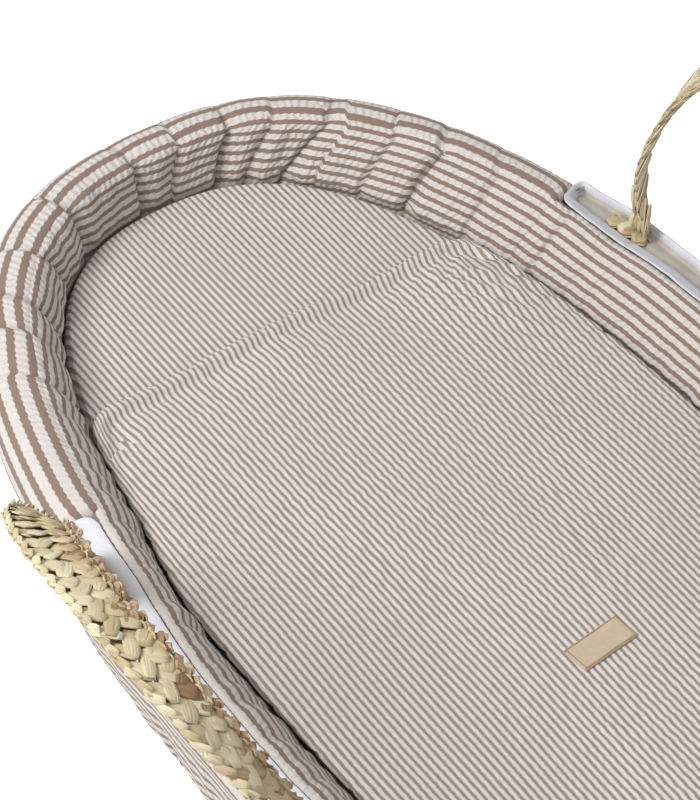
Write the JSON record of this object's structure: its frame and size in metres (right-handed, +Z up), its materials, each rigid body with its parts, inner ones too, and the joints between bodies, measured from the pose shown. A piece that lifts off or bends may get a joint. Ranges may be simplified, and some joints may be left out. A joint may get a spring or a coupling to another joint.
{
  "type": "moses basket",
  "caption": "Oval plaited palm basket with strap handles that swing, padded striped cotton liner and skirt, lift-out mattress in a fitted sheet, and a duvet.",
  "frame": {"origin": "underside of the basket's flat base, below the middle of the rim", "axes": "+X along the basket from its head to its foot, +Y to its far long side, +Z up"},
  "size_m": [0.8658, 0.5637, 0.3854],
  "materials": {
    "base_palm": "dry palm leaf, coiled and sewn",
    "wall_palm": "dry palm leaf, plaited",
    "rim_palm": "dry palm leaf, braided",
    "strap_palm": "dry palm leaf, plaited in chevrons",
    "edge_palm": "twisted palm strands",
    "lashing_palm": "palm strand",
    "liner_cotton": "matt padded cotton",
    "bumper_cotton": "puckered cotton with broad cream and taupe stripes",
    "skirt_cotton": "puckered cotton with broad cream and taupe stripes",
    "binding_cotton": "white bias tape",
    "mattress_foam": "foam in a plain cover",
    "sheet_cotton": "smooth cotton with fine cream and taupe stripes",
    "duvet_cotton": "smooth cotton with fine cream and taupe stripes",
    "label_cloth": "bare woven label"
  },
  "bodies": {
    "basket": {"basket_base": "base_palm", "basket_wall": "wall_palm", "rim_braid": "rim_palm", "handle_tail_near_head": "strap_palm", "handle_tail_near_foot": "strap_palm", "handle_tail_far_head": "strap_palm", "handle_tail_far_foot": "strap_palm", "tail_lashing_near_head": "lashing_palm", "tail_lashing_near_foot": "lashing_palm", "tail_lashing_far_head": "lashing_palm", "tail_lashing_far_foot": "lashing_palm", "liner_floor": "liner_cotton", "bumper_pad": "bumper_cotton", "outer_skirt": "skirt_cotton", "skirt_hem_casing": "skirt_cotton", "slot_binding_near": "binding_cotton", "slot_binding_far": "binding_cotton"},
    "handle_near": {"handle_near_strap": "strap_palm", "handle_near_edge_cord": "edge_palm"},
    "handle_far": {"handle_far_strap": "strap_palm", "handle_far_edge_cord": "edge_palm"},
    "mattress": {"mattress_core": "mattress_foam", "mattress_sheet": "sheet_cotton"},
    "duvet": {"duvet": "duvet_cotton", "duvet_label": "label_cloth"}
  },
  "joints": [
    {"name": "handle_near_swing", "type": "hinge", "parent": "basket", "child": "handle_near", "pos_m": [0.018, -0.2131, 0.171], "axis": [1, 0, 0], "range_deg": [-71, 49]},
    {"name": "handle_far_swing", "type": "hinge", "parent": "basket", "child": "handle_far", "pos_m": [-0.024, 0.2111, 0.171], "axis": [-1, 0, 0], "range_deg": [-49, 62]},
    {"name": "mattress_lift", "type": "slide", "parent": "basket", "child": "mattress", "axis": [0, 0, 1], "range_m": [0, 0.35]},
    {"name": "duvet_lift", "type": "slide", "parent": "mattress", "child": "duvet", "axis": [0, 0, 1], "range_m": [0, 0.25]}
  ]
}
